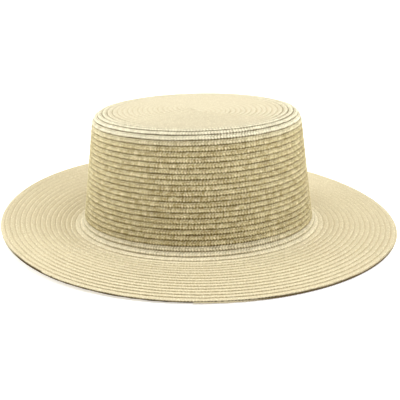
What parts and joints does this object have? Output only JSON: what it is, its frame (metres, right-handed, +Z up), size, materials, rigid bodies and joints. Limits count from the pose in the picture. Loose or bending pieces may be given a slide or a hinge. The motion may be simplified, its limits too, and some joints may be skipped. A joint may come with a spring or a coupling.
{
  "type": "straw hat",
  "caption": "Flat-topped straw hat of narrow sewn braid rows, with a tapered crown, an open head hollow and a broad round brim that dips in front and turns up behind.",
  "frame": {"origin": "on the table under the middle of the hat's bounding box, at the height of the two places on which the hat stands", "axes": "+Z up from the table, -Y towards the front of the hat and +X to its left as worn; the hat leans back by 2.1 degrees as it rests"},
  "size_m": [0.3088, 0.3256, 0.0978],
  "materials": {
    "crown_straw": "natural straw braid, matt with a faint sheen",
    "brim_straw": "natural straw braid, matt with a faint sheen"
  },
  "bodies": {
    "root": {"crown": "crown_straw", "brim": "brim_straw"}
  },
  "joints": []
}
